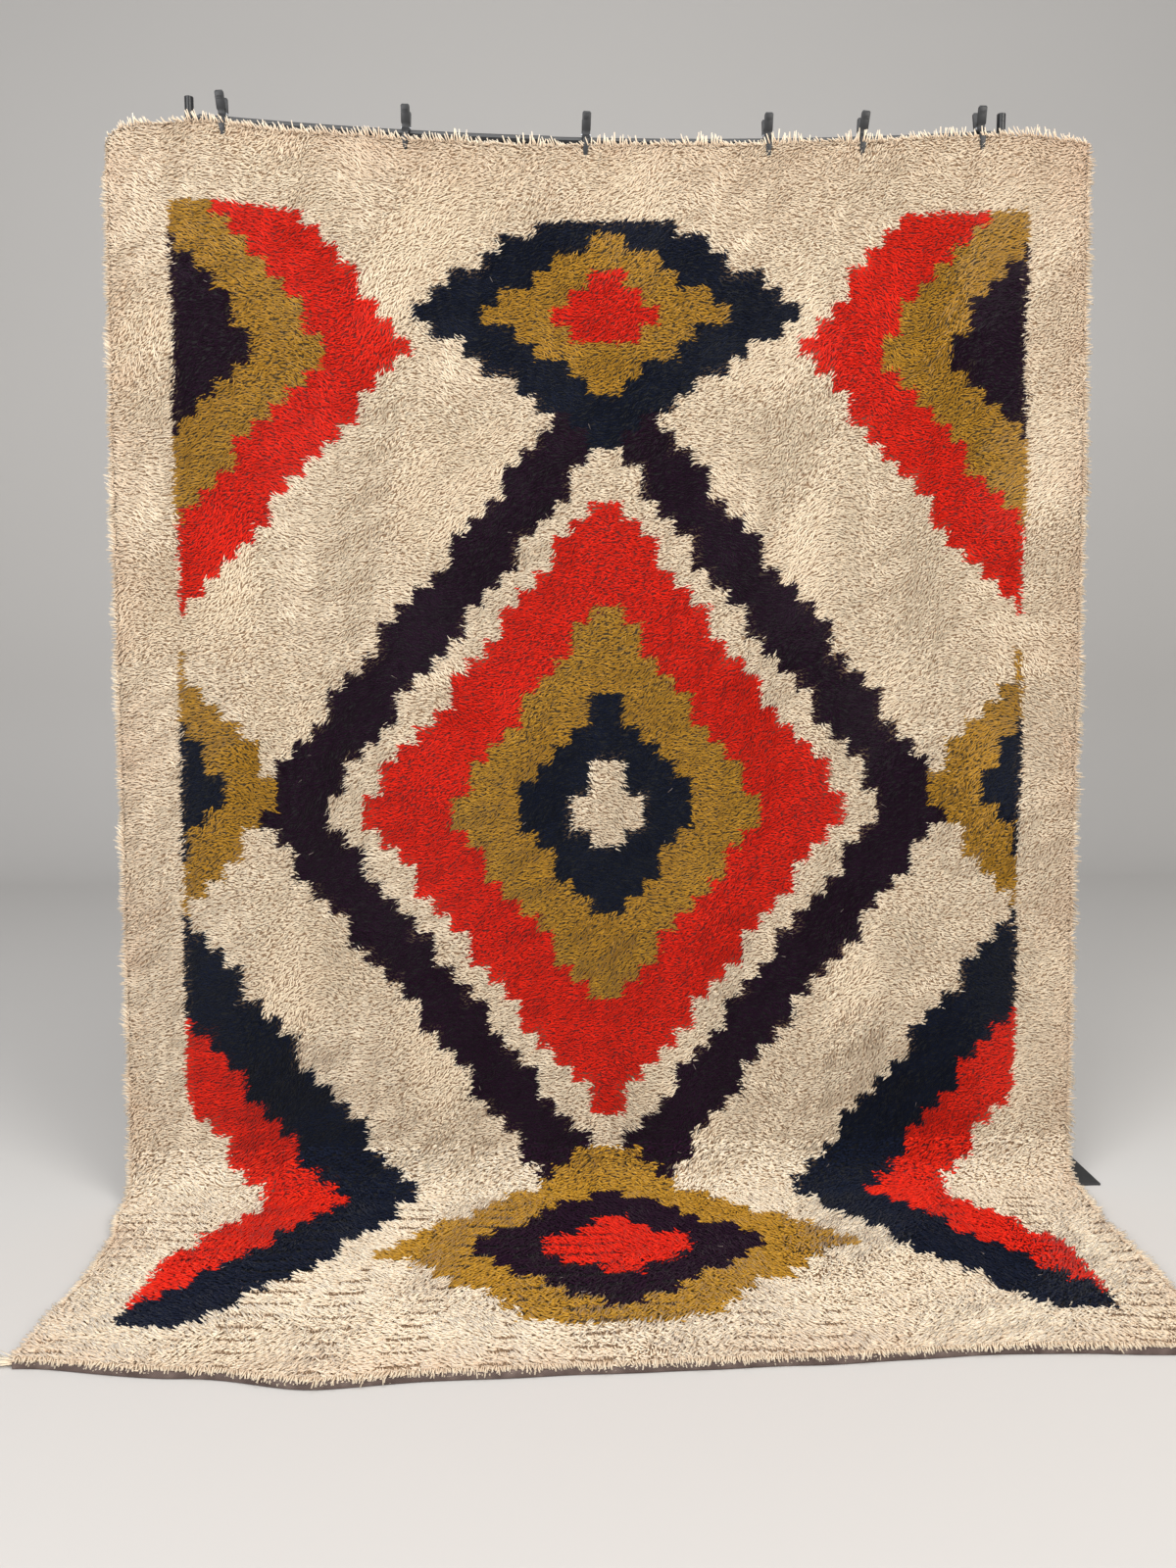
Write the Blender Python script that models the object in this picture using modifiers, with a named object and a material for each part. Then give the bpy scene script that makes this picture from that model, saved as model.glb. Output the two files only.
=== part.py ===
"""A shag rug of the rya kind, clipped by its top edge to the bar of a free-standing stand.

The rug hangs in front of the bar, leans forward as it comes down, turns on the floor in a soft
bend and lies towards the viewer. Metres, +Z up, +X to the right, +Y away from the pile side.

The rug and its rim are first made flat, in the rug's own coordinates:
    u  across, 0 in the middle and positive to the right
    s  down from the top edge along the cloth
    d  out from the back of the cloth towards the tips of the pile
and place() then carries every flat point to where the hung cloth has it. The clips and the stand
are made around the bar's axis, and the last step centres the whole on its footprint.
"""
import math
import random
from bisect import bisect_right

import bmesh
import bpy
from mathutils import Vector

# The rug
RUG_WIDTH = 2.50
RUG_LENGTH = 3.50
PILE_DEPTH = 0.026
LUMP = 0.0035
GAP = 0.0003
COLUMN_PITCH = 0.104
ROW_PITCH = 0.104

# How it hangs, in y from the bar's axis
BACK_OFF_BAR = 0.0157
LEAN = 0.130
LEAN_TOP_Z = 2.655
BEND_RADIUS = 0.090
BEND_STEPS = 4
WAVE = 0.014
WAVE_LENGTH = 0.62
CORNER_RADIUS = 0.052
CORNER_FADE = 0.140
RUG_SHIFT = 0.010
LEFT_FLOOR_INSET = 0.035
LEFT_FRONT_INSET = 0.008
RIGHT_FLOOR_INSET = 0.018
INSET_RUN = 0.20
FLARE_START = 0.30
FLARE_RUN = 0.36

# The top edge's height across the rug
TOP_EDGE = (
    # across, height
    (-1.25, 2.729),
    (-1.15, 2.741),
    (-1.03, 2.752),
    (-0.76, 2.728),
    (-0.42, 2.714),
    (-0.20, 2.708),
    (0.00, 2.711),
    (0.25, 2.718),
    (0.64, 2.733),
    (0.90, 2.750),
    (1.08, 2.757),
    (1.18, 2.748),
    (1.25, 2.739),
)

# How far the front edge lies in front of the bar's axis, across the rug
FRONT_EDGE = (
    # across, reach
    (-1.25, 0.895),
    (-0.90, 0.942),
    (-0.615, 0.990),
    (-0.40, 0.973),
    (0.00, 0.964),
    (0.35, 0.955),
    (0.80, 0.936),
    (1.25, 0.957),
)

# The rim strips and their locks
SIDE_STRIP = 0.014
TOP_STRIP = 0.036
FRONT_STRIP = 0.014
TOP_LOCK = 0.015
SIDE_LOCK = 0.022
FRONT_LOCK = 0.016
CORNER_LOCK = 0.040
LOCK_SHARE = (0.30, 0.50, 0.80)
TIP_SHARE = 0.34
LOCK_SWAY = 0.008
BINDING_HEIGHT = 0.0150
BINDING_DEPTH = 0.0060

# The bar, its posts and their feet
POST_X = 1.038
POST_TOP_Z = 2.817
BAR_END_Z = 2.766
BAR_SAG = 0.038
BAR_JOINT_X = -0.13
BAR_POINTS = 9
THICK_BAR_RADIUS = 0.0127
THIN_BAR_RADIUS = 0.0111
HOOK_LENGTH = 0.012
HOOK_HEIGHT = 0.018
HOOK_DEPTH = 0.006
TILTED_END_GAP = 0.0010
UPPER_POST_RADIUS = 0.0111
LOWER_POST_RADIUS = 0.0143
LOWER_POST_TOP_Z = 1.46
COLLAR_RADIUS = 0.0190
COLLAR_HEIGHT = 0.050
SOCKET_RADIUS = 0.0240
SOCKET_HEIGHT = 0.045
PLATE_WIDTH = 0.460
PLATE_SHIFT = 0.075
PLATE_DEPTH = 0.380
PLATE_THICKNESS = 0.006
PLATE_SOFTENING = 0.001

# The spring clips: where each one grips, and its lean about the y axis, top to the right positive
CLIPS = (
    # across, lean in degrees
    (-0.953, -4.0),
    (-0.496, 0.5),
    (-0.040, 2.0),
    (0.426, 0.0),
    (0.672, 5.0),
    (0.979, -1.0),
)
PIVOT_ABOVE_BAR = 0.0140
CLIP_MID_Y = -0.0075
PINCHED_DEPTH = 0.0120
PINCH_FLAT = 0.0130
PINCH_END = 0.0340
COIL_RADIUS = 0.0054
COIL_LENGTH = 0.0250
LEVER_SECTIONS = (
    # height above the pivot, inner face, outer face, width
    (0.049, 0.0190, 0.0235, 0.0160),
    (0.045, 0.0175, 0.0250, 0.0220),
    (0.008, 0.0075, 0.0165, 0.0220),
    (-0.003, 0.0052, 0.0145, 0.0200),
    (-0.012, 0.0150, 0.0215, 0.0180),
    (-0.018, 0.0196, 0.0265, 0.0170),
    (-0.0267, 0.0206, 0.0285, 0.0160),
    (-0.042, 0.0206, 0.0270, 0.0135),
    (-0.055, 0.0206, 0.0240, 0.0100),
    (-0.060, 0.0206, 0.0225, 0.0040),
)

HALF = RUG_WIDTH / 2
BEND_LENGTH = math.pi * BEND_RADIUS / 2
FOOT_Y = BACK_OFF_BAR + LEAN


def smooth(value):
    """0 to 1 with a level start and end."""
    value = min(1.0, max(0.0, value))
    return value * value * (3 - 2 * value)


def read_table(table, across):
    """A smooth value between the rows of a two-column table."""
    keys = [row[0] for row in table]
    index = min(max(bisect_right(keys, across) - 1, 0), len(table) - 2)
    (start, low), (end, high) = table[index], table[index + 1]
    return low + (high - low) * smooth((across - start) / (end - start))


def mean_of(table):
    """The mean of a two-column table's values over its span."""
    spans = zip(table, table[1:])
    area = sum((end[0] - start[0]) * (start[1] + end[1]) / 2 for start, end in spans)
    return area / (table[-1][0] - table[0][0])


BEND_START = RUG_LENGTH - BEND_LENGTH - (mean_of(FRONT_EDGE) - FOOT_Y - BEND_RADIUS)
BEND_END = BEND_START + BEND_LENGTH


def corner_drop(across, down):
    """How far the top left corner hangs below the line of the top edge."""
    inset = CORNER_RADIUS - (across + HALF)
    if inset <= 0:
        return 0.0
    drop = CORNER_RADIUS - math.sqrt(max(0.0, CORNER_RADIUS ** 2 - inset ** 2))
    return drop * max(0.0, 1 - down / CORNER_FADE)


def wave(across, down):
    """How far the hung cloth bellies forward: nothing at the bar and at the floor."""
    fade = smooth((down - TOP_STRIP) / 0.9) * smooth((BEND_START - down) / 0.7)
    folds = 0.5 + 0.5 * math.sin(2 * math.pi * across / WAVE_LENGTH + 2.2 * down)
    return WAVE * fade * folds


def drape(across, down, depth):
    """The exact place of a flat point on the hung, bent and lying cloth."""
    top = read_table(TOP_EDGE, across)
    if down <= BEND_START:
        share = down / BEND_START
        z = top - (top - BEND_RADIUS) * share - corner_drop(across, down)
        lean = LEAN * max(0.0, (LEAN_TOP_Z - z) / (LEAN_TOP_Z - BEND_RADIUS))
        return Vector((across + RUG_SHIFT, -BACK_OFF_BAR - lean - wave(across, down) - depth, z))
    if down <= BEND_END:
        turn = (down - BEND_START) / BEND_LENGTH * math.pi / 2
        radius = BEND_RADIUS - depth
        y = -FOOT_Y - BEND_RADIUS + radius * math.cos(turn)
        return Vector((across + RUG_SHIFT, y, BEND_RADIUS - radius * math.sin(turn)))
    reach = read_table(FRONT_EDGE, across) - FOOT_Y - BEND_RADIUS
    run = reach * (down - BEND_END) / (RUG_LENGTH - BEND_END)
    flare = smooth((run - FLARE_START) / FLARE_RUN)
    left = LEFT_FLOOR_INSET + (LEFT_FRONT_INSET - LEFT_FLOOR_INSET) * flare
    inset = left * (HALF - across) / RUG_WIDTH - RIGHT_FLOOR_INSET * (HALF + across) / RUG_WIDTH
    x = across + RUG_SHIFT + inset * smooth(run / INSET_RUN)
    return Vector((x, -FOOT_Y - BEND_RADIUS - run, depth))


def lines(stops, pitch):
    """The stops, with each stretch between two of them cut into equal steps near the pitch."""
    result = [stops[0]]
    for start, end in zip(stops, stops[1:]):
        count = max(1, round((end - start) / pitch))
        result += [start + (end - start) * step / count for step in range(1, count + 1)]
    return result


COLUMNS = lines(
    [-HALF, -HALF + SIDE_STRIP, -HALF + 0.6 * CORNER_RADIUS, -HALF + 1.4 * CORNER_RADIUS,
     HALF - SIDE_STRIP, HALF], COLUMN_PITCH)
HUNG_ROWS = lines([TOP_STRIP, CORNER_FADE, BEND_START], ROW_PITCH)
BEND_ROWS = lines([BEND_START, BEND_END], BEND_LENGTH / BEND_STEPS)
FLOOR_ROWS = lines([BEND_END, RUG_LENGTH - FRONT_STRIP], ROW_PITCH)
ROWS = [0.0] + HUNG_ROWS + BEND_ROWS[1:] + FLOOR_ROWS[1:] + [RUG_LENGTH]


def hung_grid():
    """The back and the pile side of the cloth at each crossing of a column and a row."""
    chance = random.Random(11)
    back = {}
    pile = {}
    for i, across in enumerate(COLUMNS):
        for j, down in enumerate(ROWS):
            inside = TOP_STRIP < down < RUG_LENGTH - FRONT_STRIP
            lump = chance.uniform(-LUMP, LUMP) if inside else 0.0
            back[i, j] = drape(across, down, 0.0)
            pile[i, j] = drape(across, down, PILE_DEPTH + lump)
    return back, pile


BACK, PILE = hung_grid()


def span(stops, value):
    """The step of a list of lines that holds a value, and how far along it the value lies."""
    index = min(max(bisect_right(stops, value) - 1, 0), len(stops) - 2)
    return index, (value - stops[index]) / (stops[index + 1] - stops[index])


def blend(grid, i, j, a, b):
    """The point of a grid's cell at shares a and b, also a little way outside it."""
    near = grid[i, j].lerp(grid[i + 1, j], a)
    far = grid[i, j + 1].lerp(grid[i + 1, j + 1], a)
    return near.lerp(far, b)


def place(flat):
    """Carry a flat point to the hung cloth, along its straight-sided grid."""
    i, a = span(COLUMNS, flat.x)
    j, b = span(ROWS, flat.y)
    return blend(BACK, i, j, a, b).lerp(blend(PILE, i, j, a, b), flat.z / PILE_DEPTH)


def lattice(across, down, deep):
    """A block of across by down by deep cells, its points on whole numbers."""
    bm = bmesh.new()
    bmesh.ops.create_grid(bm, x_segments=across, y_segments=down, size=1.0)
    for vert in bm.verts:
        vert.co.x = round((vert.co.x + 1) / 2 * across)
        vert.co.y = round((vert.co.y + 1) / 2 * down)
    faces = bm.faces[:]
    for level in range(1, deep + 1):
        grown = bmesh.ops.extrude_face_region(bm, geom=faces)["geom"]
        if level > 1:
            bmesh.ops.delete(bm, geom=faces, context="FACES")
        faces = [item for item in grown if isinstance(item, bmesh.types.BMFace)]
        for vert in {vert for face in faces for vert in face.verts}:
            vert.co.z = level
    bmesh.ops.recalc_face_normals(bm, faces=bm.faces[:])
    return bm


def flat_block(us, ss, ds):
    """A flat piece of cloth cut by the lines us, ss and ds."""
    bm = lattice(len(us) - 1, len(ss) - 1, len(ds) - 1)
    for vert in bm.verts:
        u, s, d = (round(value) for value in vert.co)
        vert.co = (us[u], ss[s], ds[d])
    return bm


def new_object(name, mesh, material, smooth_shaded=False):
    """Put a mesh in the object's collection under its node's name."""
    mesh.materials.clear()
    mesh.materials.append(material)
    if smooth_shaded:
        mesh.shade_smooth()
        mesh.set_sharp_from_angle(angle=math.radians(40))
    piece = bpy.data.objects.new(name, mesh)
    PARTS.objects.link(piece)
    piece.parent = STAND
    return piece


def from_bmesh(name, bm, material):
    """Make an object of a closed bmesh, with its faces turned outwards."""
    if bm.calc_volume(signed=True) < 0:
        bmesh.ops.reverse_faces(bm, faces=bm.faces[:])
    mesh = bpy.data.meshes.new(name)
    bm.to_mesh(mesh)
    bm.free()
    return new_object(name, mesh, material)


def hang(name, bm, material):
    """Carry a flat piece of cloth to its place on the hung rug."""
    for vert in bm.verts:
        vert.co = place(vert.co)
    return from_bmesh(name, bm, material)


def finish(name, colour, roughness, metallic=0.0):
    """A plain material of one colour."""
    material = bpy.data.materials.new(name)
    material.use_nodes = True
    shader = material.node_tree.nodes["Principled BSDF"]
    shader.inputs["Base Color"].default_value = (*colour, 1.0)
    shader.inputs["Roughness"].default_value = roughness
    shader.inputs["Metallic"].default_value = metallic
    return material


def build_rug():
    """The whole cloth inside its rim, as one lumpy slab."""
    us = [-HALF + SIDE_STRIP + GAP] + COLUMNS[2:-2] + [HALF - SIDE_STRIP - GAP]
    ss = [TOP_STRIP + GAP] + ROWS[2:-2] + [RUG_LENGTH - FRONT_STRIP - GAP]
    hang("rug", flat_block(us, ss, [0.0, PILE_DEPTH]), WOOL)


def with_locks(stops):
    """Lines that part each step between the stops into lock, gap, lock, gap."""
    result = []
    for start, end in zip(stops, stops[1:]):
        result += [start] + [start + (end - start) * share for share in LOCK_SHARE]
    return result + [stops[-1]]


def lock_faces(bm, axis, outward, stops, lowest=0.0):
    """The faces on a strip's outer side that a lock grows from."""
    along = 1 - axis
    found = []
    for face in bm.faces:
        centre = face.calc_center_median()
        if face.normal[axis] * outward < 0.9 or centre.z < lowest:
            continue
        index, share = span(stops, centre[along])
        if share < LOCK_SHARE[0] or LOCK_SHARE[1] < share < LOCK_SHARE[2]:
            found.append(face)
    return sorted(found, key=lambda face: face.calc_center_median()[along])


def grow_locks(bm, faces, axis, outward, length, tip, chance, last_length=None):
    """Draw each face out into a four-sided lock that tapers to its tip."""
    along = 1 - axis
    grown = bmesh.ops.extrude_discrete_faces(bm, faces=faces)["faces"]
    grown = sorted(grown, key=lambda face: face.calc_center_median()[along])
    for face in grown:
        centre = face.calc_center_median()
        low = min(vert.co.z for vert in face.verts)
        high = max(vert.co.z for vert in face.verts)
        reach = length * chance.uniform(0.65, 1.0)
        if last_length and face is grown[-1]:
            reach = last_length
        sway = chance.uniform(-LOCK_SWAY, LOCK_SWAY)
        for vert in face.verts:
            depth_share = (vert.co.z - low) / (high - low)
            vert.co[axis] += outward * reach
            vert.co[along] = centre[along] + (vert.co[along] - centre[along]) * TIP_SHARE + sway
            vert.co.z = tip[0] + (tip[1] - tip[0]) * depth_share


def build_side_locks(side, outward, chance):
    """One side's rim in three strips: hung, bent and lying."""
    outer = outward * HALF
    inner = outward * (HALF - SIDE_STRIP)
    stretches = (
        # name, lines, depths of a lock's tip
        ("hung", HUNG_ROWS, (0.008, 0.018)),
        ("bend", BEND_ROWS, (0.006, 0.015)),
        ("floor", FLOOR_ROWS, (0.0, 0.007)),
    )
    for name, rows, tip in stretches:
        ss = with_locks(rows)
        ss[0] += GAP
        ss[-1] -= GAP
        bm = flat_block(sorted((outer, inner)), ss, [0.0, PILE_DEPTH])
        faces = lock_faces(bm, 0, outward, rows)
        if name == "bend":
            faces = faces[::2]
        tied_corner = CORNER_LOCK if (side, name) == ("left", "floor") else None
        grow_locks(bm, faces, 0, outward, SIDE_LOCK, tip, chance, tied_corner)
        hang(f"locks_{side}_{name}", bm, WOOL)


def pinch(across):
    """1 where a clip's jaws press the top edge together, fading to 0 beside them."""
    distance = min(abs(across + RUG_SHIFT - clip[0]) for clip in CLIPS)
    return 1 - smooth((distance - PINCH_FLAT) / (PINCH_END - PINCH_FLAT))


def build_top_locks(chance):
    """The top rim, thinned under each clip, where no lock grows."""
    us = with_locks(COLUMNS)
    for clip, _lean in CLIPS:
        grip = clip - RUG_SHIFT
        us = [line for line in us if line in COLUMNS or abs(line - grip) > PINCH_END]
        us += [grip + side * width for side in (-1, 1) for width in (PINCH_FLAT, PINCH_END)]
    bm = flat_block(sorted(us), [0.0, TOP_STRIP], [0.0, PILE_DEPTH])
    faces = [face for face in lock_faces(bm, 1, -1, COLUMNS)
             if pinch(face.calc_center_median().x) == 0.0]
    for vert in bm.verts:
        if vert.co.z > 0:
            vert.co.z -= (PILE_DEPTH - PINCHED_DEPTH) * pinch(vert.co.x)
    grow_locks(bm, faces, 1, -1, TOP_LOCK, (0.010, 0.020), chance)
    hang("locks_top", bm, WOOL)


def build_front_edge(chance):
    """The woven band along the front edge and the locks that hang over it."""
    band_top = BINDING_HEIGHT + GAP
    us = with_locks(COLUMNS)
    ss = [RUG_LENGTH - FRONT_STRIP, RUG_LENGTH - BINDING_DEPTH - GAP]
    bm = flat_block(us, ss, [0.0, band_top, PILE_DEPTH])
    faces = lock_faces(bm, 1, 1, COLUMNS, lowest=band_top)
    grow_locks(bm, faces, 1, 1, FRONT_LOCK, (band_top + GAP, band_top + 0.005), chance)
    hang("locks_front", bm, WOOL)
    band = flat_block(COLUMNS, [RUG_LENGTH - BINDING_DEPTH, RUG_LENGTH], [0.0, BINDING_HEIGHT])
    hang("edge_binding", band, TAPE)


def bar_axis_z(across):
    """The height of the sagging bar's axis."""
    return BAR_END_Z - BAR_SAG * (1 - (across / POST_X) ** 2)


def bar_radius(across):
    """The bar's radius: its thick tube is on the left."""
    return THICK_BAR_RADIUS if across < BAR_JOINT_X else THIN_BAR_RADIUS


def build_bar_tube(name, start, end, radius):
    """One tube of the bar, bent to the bar's sag."""
    curve = bpy.data.curves.new(name, "CURVE")
    curve.dimensions = "3D"
    curve.bevel_depth = radius
    curve.bevel_resolution = 3
    curve.use_fill_caps = True
    spline = curve.splines.new("POLY")
    spline.points.add(BAR_POINTS - 1)
    for index, point in enumerate(spline.points):
        across = start + (end - start) * index / (BAR_POINTS - 1)
        point.co = (across, 0.0, bar_axis_z(across), 1.0)
    curve.materials.append(STEEL)
    tube = bpy.data.objects.new(name, curve)
    PARTS.objects.link(tube)
    tube.parent = STAND


def build_box(name, size, centre, material, softening=0.0):
    """A box of the given size, its edges softened where asked."""
    bm = bmesh.new()
    bmesh.ops.create_cube(bm, size=1.0)
    bmesh.ops.scale(bm, vec=size, verts=bm.verts[:])
    piece = from_bmesh(name, bm, material)
    piece.location = centre
    if softening:
        bevel = piece.modifiers.new("softened edges", "BEVEL")
        bevel.width = softening
        bevel.segments = 1
    return piece


def build_tube_length(name, radius, low, high, across):
    """An upright round length, closed at both ends."""
    bm = bmesh.new()
    bmesh.ops.create_cone(bm, cap_ends=True, segments=20, radius1=radius, radius2=radius,
                          depth=high - low)
    mesh = bpy.data.meshes.new(name)
    bm.to_mesh(mesh)
    bm.free()
    piece = new_object(name, mesh, STEEL, smooth_shaded=True)
    piece.location = (across, 0.0, (low + high) / 2)


def build_sleeve(name, bore, radius, low, high, across):
    """A turned sleeve that sits round a post with a small clearance."""
    outline = ((radius, high), (radius, low), (bore, low), (bore, high))
    bm = bmesh.new()
    corners = [bm.verts.new((x, 0.0, z)) for x, z in outline]
    for start, end in zip(corners, corners[1:] + corners[:1]):
        bm.edges.new((start, end))
    mesh = bpy.data.meshes.new(name)
    bm.to_mesh(mesh)
    bm.free()
    piece = new_object(name, mesh, STEEL)
    piece.location = (across, 0.0, 0.0)
    screw = piece.modifiers.new("turned", "SCREW")
    screw.steps = 20
    screw.render_steps = 20
    screw.use_merge_vertices = True
    screw.merge_threshold = 0.0001
    screw.use_smooth_shade = True


def build_post(side, outward):
    """A foot plate, its socket, and the two lengths of one post with their collar."""
    x = outward * POST_X
    plate_centre = (x + PLATE_SHIFT, 0.0, PLATE_THICKNESS / 2)
    build_box(f"base_plate_{side}", (PLATE_WIDTH, PLATE_DEPTH, PLATE_THICKNESS), plate_centre,
              STEEL, PLATE_SOFTENING)
    floor = PLATE_THICKNESS + GAP
    build_sleeve(f"base_socket_{side}", LOWER_POST_RADIUS + GAP, SOCKET_RADIUS, floor,
                 floor + SOCKET_HEIGHT, x)
    build_tube_length(f"post_lower_{side}", LOWER_POST_RADIUS, floor, LOWER_POST_TOP_Z, x)
    joint = LOWER_POST_TOP_Z + GAP
    build_sleeve(f"post_collar_{side}", UPPER_POST_RADIUS + GAP, COLLAR_RADIUS, joint,
                 joint + COLLAR_HEIGHT, x)
    build_tube_length(f"post_upper_{side}", UPPER_POST_RADIUS, joint, POST_TOP_Z, x)


def build_bar():
    """Two tubes, one sliding in the other, and the hook at each end."""
    hook_start = POST_X - UPPER_POST_RADIUS - GAP
    bar_end = hook_start - HOOK_LENGTH - TILTED_END_GAP
    build_bar_tube("crossbar_thick", -bar_end, BAR_JOINT_X, THICK_BAR_RADIUS)
    build_bar_tube("crossbar_thin", BAR_JOINT_X + GAP, bar_end, THIN_BAR_RADIUS)
    for side, outward in SIDES:
        centre = outward * (hook_start - HOOK_LENGTH / 2)
        build_box(f"bar_hook_{side}", (HOOK_LENGTH, HOOK_DEPTH, HOOK_HEIGHT),
                  (centre, 0.0, bar_axis_z(centre)), STEEL)


def build_lever(name, facing, pivot, lean):
    """One half of a clip: a broad handle, waisted at the pivot, and a jaw drawn to a tip."""
    bm = lattice(1, len(LEVER_SECTIONS) - 1, 1)
    for vert in bm.verts:
        edge, row, outer = (round(value) for value in vert.co)
        height, inner_face, outer_face, width = LEVER_SECTIONS[row]
        away = outer_face if outer else inner_face
        vert.co = ((edge - 0.5) * width, facing * away, height)
    piece = from_bmesh(name, bm, PLASTIC)
    piece.location = pivot
    piece.rotation_euler = (0.0, lean, 0.0)


def build_clip(number, across, lean_degrees):
    """Two levers and the coil between them, over the bar and the rug's top edge."""
    top = bar_axis_z(across) + bar_radius(across)
    pivot = Vector((across, CLIP_MID_Y, top + PIVOT_ABOVE_BAR))
    lean = math.radians(lean_degrees)
    build_lever(f"clip_{number}_front", -1, pivot, lean)
    build_lever(f"clip_{number}_back", 1, pivot, lean)
    bm = bmesh.new()
    bmesh.ops.create_cone(bm, cap_ends=True, segments=12, radius1=COIL_RADIUS,
                          radius2=COIL_RADIUS, depth=COIL_LENGTH)
    mesh = bpy.data.meshes.new(f"clip_{number}_coil")
    bm.to_mesh(mesh)
    bm.free()
    coil = new_object(f"clip_{number}_coil", mesh, STEEL, smooth_shaded=True)
    coil.location = pivot
    coil.rotation_euler = (0.0, math.pi / 2 + lean, 0.0)


def centre_on_footprint():
    """Move the stand, and all that hangs from it, so that its box is centred on the origin."""
    bpy.context.view_layer.update()
    graph = bpy.context.evaluated_depsgraph_get()
    reaches = []
    for piece in PARTS.objects:
        if piece.type == "EMPTY":
            continue
        shape = piece.evaluated_get(graph).to_mesh()
        reaches += [(piece.matrix_world @ vert.co).xy for vert in shape.vertices]
    for axis in (0, 1):
        along = [reach[axis] for reach in reaches]
        STAND.location[axis] = -(min(along) + max(along)) / 2
    bpy.context.view_layer.update()
    print(f"bar's middle at x {STAND.location.x:.4f}, y {STAND.location.y:.4f}")


for old in list(bpy.data.objects):
    bpy.data.objects.remove(old)
PARTS = bpy.data.collections.new("rya_rug_on_stand")
bpy.context.scene.collection.children.link(PARTS)
STAND = bpy.data.objects.new("bar_axis", None)
PARTS.objects.link(STAND)
SIDES = (("left", -1), ("right", 1))

WOOL = finish("cream wool pile", (0.78, 0.66, 0.50), 0.95)
TAPE = finish("grey-brown woven tape", (0.12, 0.095, 0.085), 0.9)
STEEL = finish("black coated steel", (0.012, 0.012, 0.014), 0.45)
PLASTIC = finish("black moulded plastic", (0.01, 0.01, 0.012), 0.5)

random_locks = random.Random(5)
build_rug()
build_top_locks(random_locks)
for side_name, side_sign in SIDES:
    build_side_locks(side_name, side_sign, random_locks)
build_front_edge(random_locks)
build_bar()
for side_name, side_sign in SIDES:
    build_post(side_name, side_sign)
for clip_number, (clip_across, clip_lean) in enumerate(CLIPS, start=1):
    build_clip(clip_number, clip_across, clip_lean)
centre_on_footprint()
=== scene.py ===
# %% [markdown]
# # A rya rug clipped to a stand
# A rya is a rug of long wool knots. This one hangs from a steel bar by six spring clips, leans a little
# towards us, bends where it meets the floor, and lies on towards the camera. The lesson dresses a packed
# CAD model: the rug, its binding and the clips get pieces of their own, and the steel keeps its CAD shape.

# %% Load the frame
import math
import bpy
import numpy as np
from mathutils import Matrix, Vector


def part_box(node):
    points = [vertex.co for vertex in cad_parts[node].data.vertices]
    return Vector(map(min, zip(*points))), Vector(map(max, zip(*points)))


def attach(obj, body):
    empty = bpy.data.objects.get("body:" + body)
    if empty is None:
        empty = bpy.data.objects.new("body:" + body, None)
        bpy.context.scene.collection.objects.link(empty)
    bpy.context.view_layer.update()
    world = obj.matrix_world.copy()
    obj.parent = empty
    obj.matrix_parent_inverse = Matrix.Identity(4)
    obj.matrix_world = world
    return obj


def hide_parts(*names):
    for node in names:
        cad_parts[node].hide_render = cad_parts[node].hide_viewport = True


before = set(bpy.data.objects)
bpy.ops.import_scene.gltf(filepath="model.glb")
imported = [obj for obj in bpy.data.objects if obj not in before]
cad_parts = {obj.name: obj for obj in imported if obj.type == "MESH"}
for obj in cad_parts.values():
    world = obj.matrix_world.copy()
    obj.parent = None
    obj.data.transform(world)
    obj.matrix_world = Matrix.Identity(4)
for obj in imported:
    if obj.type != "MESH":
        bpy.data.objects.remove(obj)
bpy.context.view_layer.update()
BAR_Y = (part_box("crossbar_thick")[0].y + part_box("crossbar_thick")[1].y) / 2
MIDDLE_X = (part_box("post_upper_left")[0].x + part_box("post_upper_right")[1].x) / 2
print("bar y", round(BAR_Y, 4), "middle x", round(MIDDLE_X, 4))

# %% [markdown]
# ## Camera, floor and light
# The rug is seen from about 3.2 m, from a little left of its middle and slightly from above, so its foot
# looks wider than its head. A camera is a place, two angles and a focal length. The focal length here
# comes from how fast sizes shrink with distance in the view.

# %% Camera
FOCAL_LENGTH_MM = 27.0
camera_data = bpy.data.cameras.new("camera")
camera_data.lens = FOCAL_LENGTH_MM
camera_data.sensor_width = 36.0
camera_data.clip_start = 0.05
camera = bpy.data.objects.new("camera", camera_data)
bpy.context.scene.collection.objects.link(camera)
camera.location = (MIDDLE_X - 0.178, BAR_Y - 3.165, 1.42)
camera.rotation_euler = (math.radians(83.82), 0, math.radians(-2.6))
bpy.context.scene.camera = camera
print("camera at", [round(v, 3) for v in camera.location])

# %% [markdown]
# Colours are picked as hex values, which are sRGB, while the nodes work in linear light. So one helper turns
# a hex value to linear, and a few more add a node, join two and mix colours.

# %% Helpers for colour and material nodes
def linear(hex_colour):
    """An sRGB hex value as the linear colour that the nodes work in."""
    channels = [int(hex_colour[i:i + 2], 16) / 255 for i in (1, 3, 5)]
    return (*[c / 12.92 if c <= 0.04045 else ((c + 0.055) / 1.055) ** 2.4 for c in channels], 1.0)


def add_node(material, kind, settings=None, **inputs):
    """Adds one node. settings are its own properties; inputs are values, or outputs of other nodes."""
    node = material.node_tree.nodes.new(kind)
    for name, value in (settings or {}).items():
        setattr(node, name, value)
    for name, value in inputs.items():
        key = int(name[1:]) if name[0] == "i" and name[1:].isdigit() else name.replace("_", " ")
        if isinstance(value, bpy.types.NodeSocket):
            material.node_tree.links.new(value, node.inputs[key])
        else:
            node.inputs[key].default_value = value
    return node


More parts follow.
